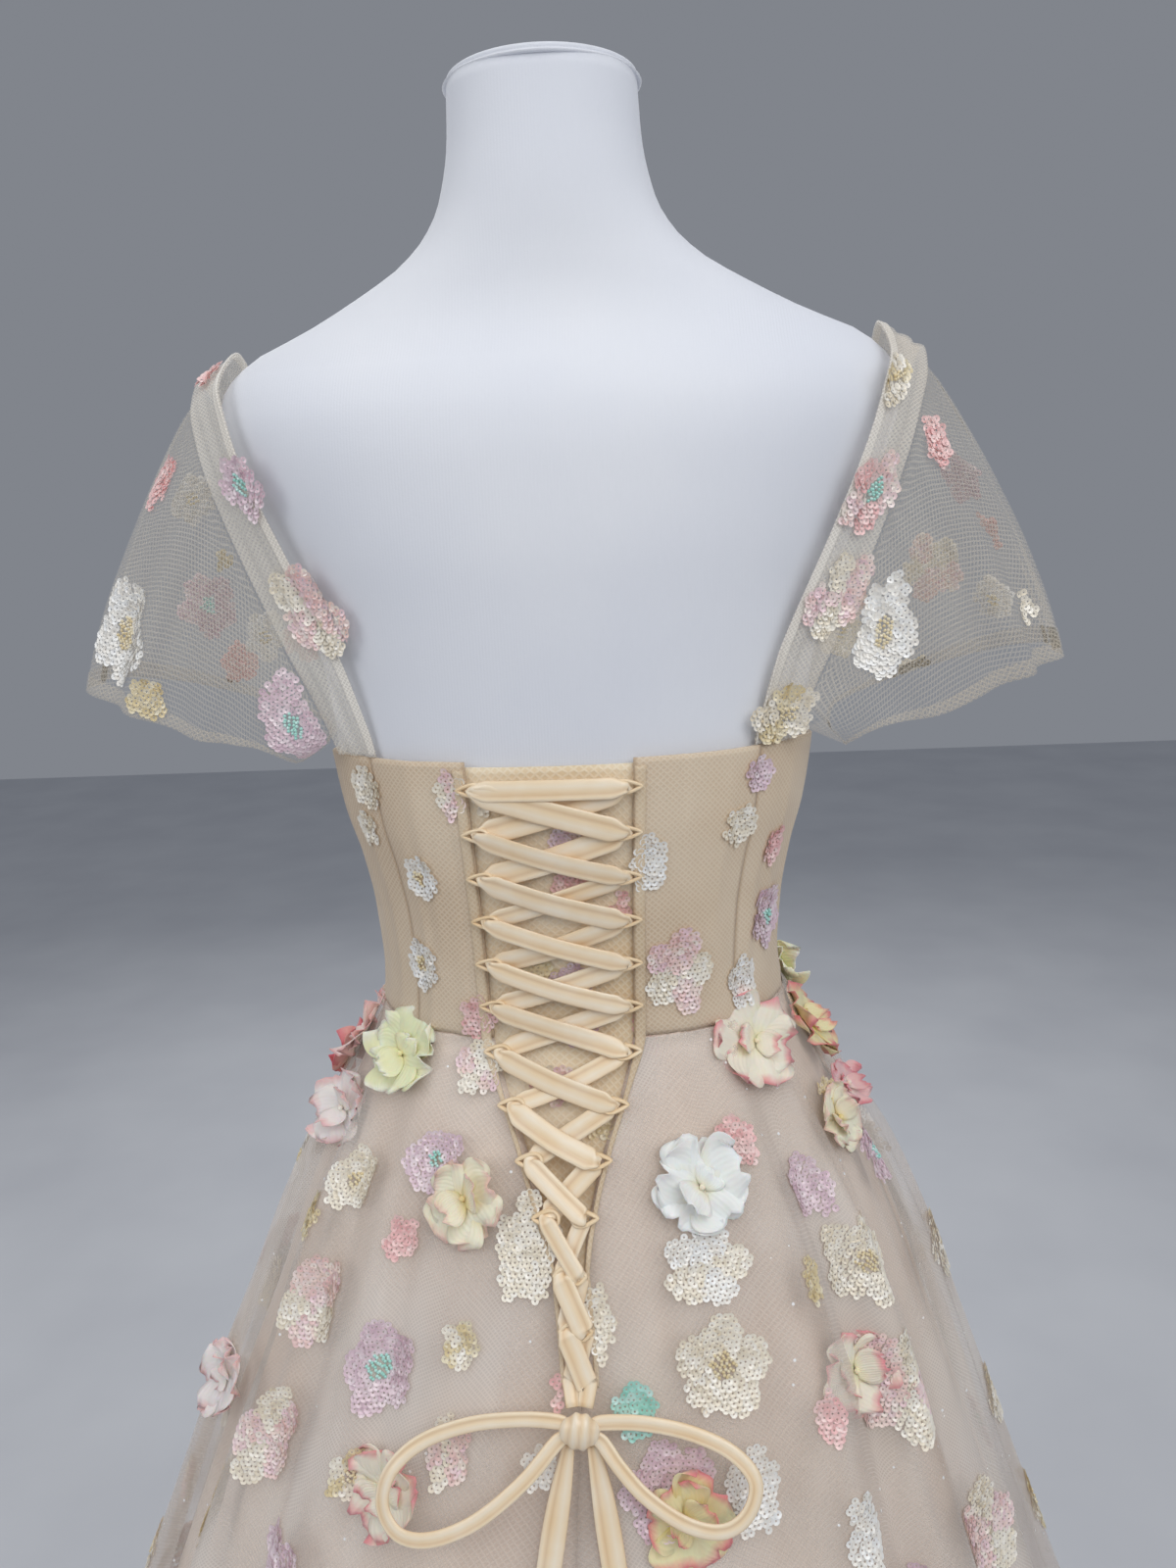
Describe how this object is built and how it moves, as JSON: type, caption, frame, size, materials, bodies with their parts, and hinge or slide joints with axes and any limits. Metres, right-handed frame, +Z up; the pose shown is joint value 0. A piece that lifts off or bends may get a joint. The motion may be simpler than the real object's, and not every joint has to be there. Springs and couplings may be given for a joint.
{
  "type": "ball gown on a dress form",
  "caption": "Full-skirted ball gown with a laced corset back, sheer off-the-shoulder sleeves and applied flowers, on a limbless dress form with a round stand.",
  "frame": {"origin": "centre of the stand's underside, on the floor", "axes": "+Z up; the wearer faces -Y, so the laced back faces +Y; +X is the wearer's left"},
  "size_m": [1.0787, 0.9764, 1.5213],
  "materials": {
    "form_jersey": "stretched fine white jersey",
    "stand_steel": "brushed tube",
    "stand_plate": "white powder coat",
    "bodice_cloth": "net over cream lining, softly folded",
    "skirt_lining": "smooth champagne lining",
    "tulle_net": "sheer ivory tulle",
    "satin_ribbon": "glossy satin",
    "petal_green": "soft crimped petal cloth",
    "petal_coral": "soft crimped petal cloth",
    "petal_pink": "soft crimped petal cloth",
    "petal_white": "soft crimped petal cloth",
    "petal_yellow": "soft crimped petal cloth",
    "petal_cream": "soft crimped petal cloth"
  },
  "bodies": {
    "root": {"form_torso": "form_jersey", "form_neck_cap": "form_jersey", "form_pole": "stand_steel", "form_base": "stand_plate", "bodice_back_left": "bodice_cloth", "bodice_side_back_left": "bodice_cloth", "bodice_front_side_left": "bodice_cloth", "bodice_back_right": "bodice_cloth", "bodice_side_back_right": "bodice_cloth", "bodice_front_side_right": "bodice_cloth", "bodice_front_centre": "bodice_cloth", "modesty_panel": "bodice_cloth", "skirt_lining_back_left": "skirt_lining", "skirt_lining_back_right": "skirt_lining", "skirt_lining_side_left": "skirt_lining", "skirt_lining_front": "skirt_lining", "skirt_lining_side_right": "skirt_lining", "skirt_net_back_left": "tulle_net", "skirt_net_back_right": "tulle_net", "skirt_net_front": "tulle_net", "shoulder_band_left": "tulle_net", "shoulder_band_right": "tulle_net", "sleeve_left": "tulle_net", "sleeve_right": "tulle_net", "corset_lace": "satin_ribbon", "loop_tape_left": "satin_ribbon", "loop_tape_right": "satin_ribbon", "bow_knot": "satin_ribbon", "bow_loop_left": "satin_ribbon", "bow_loop_right": "satin_ribbon", "bow_tail_left": "satin_ribbon", "bow_tail_right": "satin_ribbon", "flower_green_left": "petal_green", "flower_coral_left": "petal_coral", "flower_pale_pink_left": "petal_pink", "flower_white_pink_left": "petal_white", "flower_green_right": "petal_green", "flower_yellow_right": "petal_yellow", "flower_small_pink_right": "petal_pink", "flower_pink_cream_right": "petal_pink", "flower_cream_back_left": "petal_cream", "flower_white_back_right": "petal_white", "flower_cream_right": "petal_yellow", "flower_pink_left_low": "petal_pink", "flower_pink_cream_low": "petal_cream", "flower_bow_left": "petal_cream", "flower_bow_right": "petal_yellow", "flower_front_1": "petal_pink", "flower_front_2": "petal_white", "flower_front_3": "petal_pink", "flower_front_4": "petal_green", "flower_front_5": "petal_yellow", "flower_front_6": "petal_cream", "flower_front_7": "petal_pink", "flower_front_8": "petal_white", "flower_front_9": "petal_coral"}
  },
  "joints": []
}
